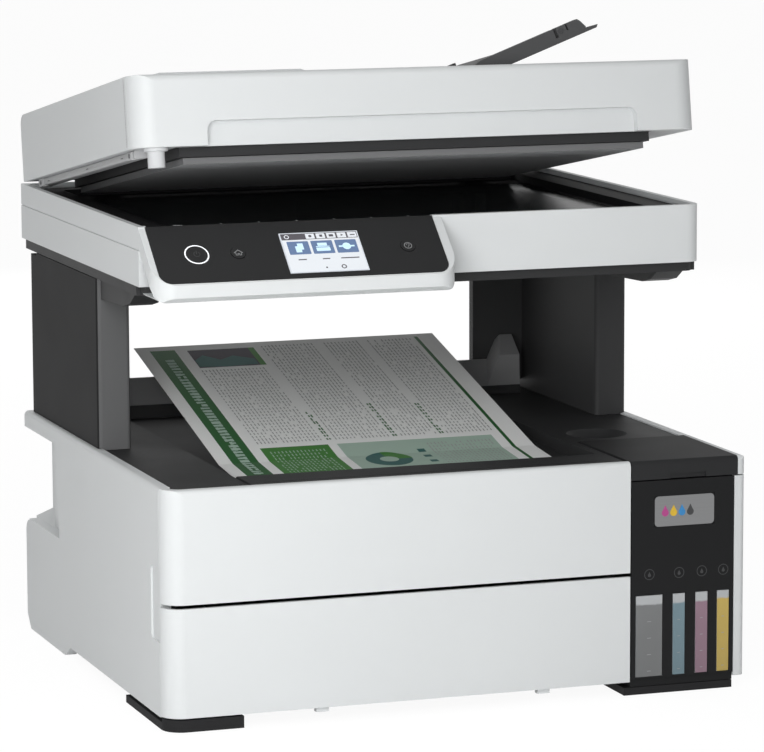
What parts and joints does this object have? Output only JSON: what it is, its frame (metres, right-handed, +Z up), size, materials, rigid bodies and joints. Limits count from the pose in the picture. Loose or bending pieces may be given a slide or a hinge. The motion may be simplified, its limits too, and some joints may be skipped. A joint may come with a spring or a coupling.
{
  "type": "ink-tank inkjet printer with flatbed scanner",
  "caption": "Ink-tank inkjet printer with a flatbed scanner, a document feeder in its lid, a front paper cassette, windowed tanks and a sheet in its open output bay",
  "frame": {"origin": "middle of the underside of the bounding box, on the table under the printer", "axes": "+X to the printer's right seen from the front, +Y to the back, +Z up"},
  "size_m": [0.375, 0.347, 0.4122],
  "materials": {
    "black_plastic": "smooth black moulding",
    "charcoal_plastic": "textured charcoal moulding",
    "circuit_board": "green circuit board",
    "clear_tank": "translucent moulding",
    "cyan_plastic": "cyan cap",
    "foam": "light grey foam mat",
    "glass": "flat float glass",
    "grey_plastic": "dark grey moulding",
    "light_plastic": "light grey moulding",
    "magenta_plastic": "magenta cap",
    "paper": "plain printing paper",
    "rubber": "soft rubber",
    "screen": "lit touch screen",
    "silver_plate": "brushed plate",
    "steel": "pressed sheet and ground rods",
    "white_plastic": "fine-textured cool light grey moulding",
    "yellow_plastic": "yellow cap"
  },
  "bodies": {
    "base": {"bottom_chassis": "charcoal_plastic", "feet": "rubber", "left_side_cover": "white_plastic", "right_side_cover": "white_plastic", "front_cover": "white_plastic", "rear_cover": "grey_plastic", "output_deck": "charcoal_plastic", "exit_guide": "charcoal_plastic", "tank_housing": "black_plastic", "ink_tanks": "clear_tank", "badge_plate": "silver_plate", "left_column": "charcoal_plastic", "right_column": "charcoal_plastic", "power_inlet": "black_plastic", "power_supply": "grey_plastic", "main_board": "circuit_board", "mechanism_frame": "steel", "drive_motors": "black_plastic", "timing_belt": "rubber", "platen": "black_plastic", "printed_sheet": "paper", "paper_support": "grey_plastic"},
    "carriage": {"print_carriage": "charcoal_plastic", "print_head": "steel"},
    "feed_roller": {"feed_roller": "rubber"},
    "exit_roller": {"exit_roller": "rubber"},
    "pickup_arm": {"pickup_arm": "charcoal_plastic"},
    "pickup_roller": {"pickup_roller": "rubber"},
    "maintenance_box": {"maintenance_box": "grey_plastic"},
    "cassette": {"cassette_tray": "charcoal_plastic", "cassette_front": "white_plastic"},
    "left_edge_guide": {"left_edge_guide": "grey_plastic"},
    "right_edge_guide": {"right_edge_guide": "grey_plastic"},
    "guide_pinion": {"guide_pinion": "grey_plastic"},
    "tank_lid": {"tank_lid": "charcoal_plastic"},
    "black_cap": {"black_cap": "black_plastic"},
    "cyan_cap": {"cyan_cap": "cyan_plastic"},
    "magenta_cap": {"magenta_cap": "magenta_plastic"},
    "yellow_cap": {"yellow_cap": "yellow_plastic"},
    "scanner": {"scanner_base": "charcoal_plastic", "scanner_shell": "white_plastic", "platen_glass": "glass", "platen_frame": "black_plastic", "panel_bezel": "white_plastic", "control_panel": "black_plastic", "touch_screen": "screen", "lid_hinges": "steel"},
    "power_button": {"power_button": "grey_plastic"},
    "home_button": {"home_button": "grey_plastic"},
    "help_button": {"help_button": "grey_plastic"},
    "scan_carriage": {"scan_carriage": "black_plastic"},
    "lid": {"lid_shell": "white_plastic", "lid_base": "light_plastic", "lid_mat": "foam"},
    "adf_cover": {"adf_cover": "white_plastic"},
    "adf_roller": {"adf_roller": "rubber"},
    "adf_tray": {"adf_tray": "grey_plastic"},
    "adf_front_guide": {"adf_front_guide": "grey_plastic"},
    "adf_rear_guide": {"adf_rear_guide": "grey_plastic"}
  },
  "joints": [
    {"name": "carriage_travel", "type": "slide", "parent": "base", "child": "carriage", "axis": [-1, 0, 0], "range_m": [0, 0.225]},
    {"name": "feed_roller_spin", "type": "hinge", "parent": "base", "child": "feed_roller", "pos_m": [0, 0.074, 0.092], "axis": [1, 0, 0], "continuous": true},
    {"name": "exit_roller_spin", "type": "hinge", "parent": "base", "child": "exit_roller", "pos_m": [0, -0.034, 0.09], "axis": [1, 0, 0], "continuous": true},
    {"name": "pickup_arm_swing", "type": "hinge", "parent": "base", "child": "pickup_arm", "pos_m": [-0.016, 0.104, 0.068], "axis": [1, 0, 0], "range_deg": [0, 30]},
    {"name": "pickup_roller_spin", "type": "hinge", "parent": "pickup_arm", "child": "pickup_roller", "pos_m": [-0.016, 0.04433, 0.06173], "axis": [1, 0, 0], "continuous": true},
    {"name": "maintenance_box_pull", "type": "slide", "parent": "base", "child": "maintenance_box", "axis": [0, 1, 0], "range_m": [0, 0.11]},
    {"name": "cassette_pull", "type": "slide", "parent": "base", "child": "cassette", "axis": [0, -1, 0], "range_m": [0, 0.24]},
    {"name": "left_guide_slide", "type": "slide", "parent": "cassette", "child": "left_edge_guide", "axis": [1, 0, 0], "range_m": [0, 0.055]},
    {"name": "right_guide_slide", "type": "slide", "parent": "cassette", "child": "right_edge_guide", "axis": [-1, 0, 0], "range_m": [0, 0.055]},
    {"name": "guide_pinion_spin", "type": "hinge", "parent": "cassette", "child": "guide_pinion", "pos_m": [-0.016, -0.02, 0.015], "axis": [0, 0, 1], "range_deg": [-10, 360]},
    {"name": "tank_lid_lift", "type": "hinge", "parent": "base", "child": "tank_lid", "pos_m": [0.149, -0.089, 0.1434], "axis": [-1, 0, 0], "range_deg": [0, 95]},
    {"name": "black_cap_lift", "type": "hinge", "parent": "base", "child": "black_cap", "pos_m": [0.12365, -0.1265, 0.103], "axis": [-1, 0, 0], "range_deg": [0, 100]},
    {"name": "cyan_cap_lift", "type": "hinge", "parent": "base", "child": "cyan_cap", "pos_m": [0.1434, -0.1265, 0.103], "axis": [-1, 0, 0], "range_deg": [0, 100]},
    {"name": "magenta_cap_lift", "type": "hinge", "parent": "base", "child": "magenta_cap", "pos_m": [0.1584, -0.1265, 0.103], "axis": [-1, 0, 0], "range_deg": [0, 100]},
    {"name": "yellow_cap_lift", "type": "hinge", "parent": "base", "child": "yellow_cap", "pos_m": [0.1718, -0.1265, 0.103], "axis": [-1, 0, 0], "range_deg": [0, 100]},
    {"name": "scanner_lift", "type": "hinge", "parent": "base", "child": "scanner", "pos_m": [0, 0.153, 0.258], "axis": [-1, 0, 0], "range_deg": [0, 28]},
    {"name": "power_button_press", "type": "slide", "parent": "scanner", "child": "power_button", "axis": [0, 0.6542, -0.7563], "range_m": [0, 0.0008], "stiffness_N_per_m": 600, "springref_m": -0.0005},
    {"name": "home_button_press", "type": "slide", "parent": "scanner", "child": "home_button", "axis": [0, 0.6542, -0.7563], "range_m": [0, 0.0008], "stiffness_N_per_m": 600, "springref_m": -0.0005},
    {"name": "help_button_press", "type": "slide", "parent": "scanner", "child": "help_button", "axis": [0, 0.6542, -0.7563], "range_m": [0, 0.0008], "stiffness_N_per_m": 600, "springref_m": -0.0005},
    {"name": "scan_carriage_travel", "type": "slide", "parent": "scanner", "child": "scan_carriage", "axis": [1, 0, 0], "range_m": [0, 0.3]},
    {"name": "lid_lift", "type": "hinge", "parent": "scanner", "child": "lid", "pos_m": [0, 0.16, 0.3085], "axis": [-1, 0, 0], "range_deg": [-9.5, 55]},
    {"name": "adf_cover_lift", "type": "hinge", "parent": "lid", "child": "adf_cover", "pos_m": [-0.174, 0.03673, 0.35955], "axis": [0, -0.9863, 0.165], "range_deg": [0, 75]},
    {"name": "adf_roller_spin", "type": "hinge", "parent": "lid", "child": "adf_roller", "pos_m": [-0.09, 0.03566, 0.35313], "axis": [0, 0.9863, -0.165], "continuous": true},
    {"name": "adf_tray_fold", "type": "hinge", "parent": "lid", "child": "adf_tray", "pos_m": [0.038, 0.03649, 0.35807], "axis": [0, 0.9863, -0.165], "range_deg": [0, 20.3]},
    {"name": "adf_front_guide_slide", "type": "slide", "parent": "lid", "child": "adf_front_guide", "axis": [0, 0.9863, -0.165], "range_m": [0, 0.05]},
    {"name": "adf_rear_guide_slide", "type": "slide", "parent": "lid", "child": "adf_rear_guide", "axis": [0, -0.9863, 0.165], "range_m": [0, 0.05]}
  ],
  "couplings": [
    {"joint": "right_guide_slide", "follows": "left_guide_slide", "ratio": 1},
    {"joint": "guide_pinion_spin", "follows": "left_guide_slide", "rad_per_m": 111.11},
    {"joint": "adf_rear_guide_slide", "follows": "adf_front_guide_slide", "ratio": 1}
  ]
}
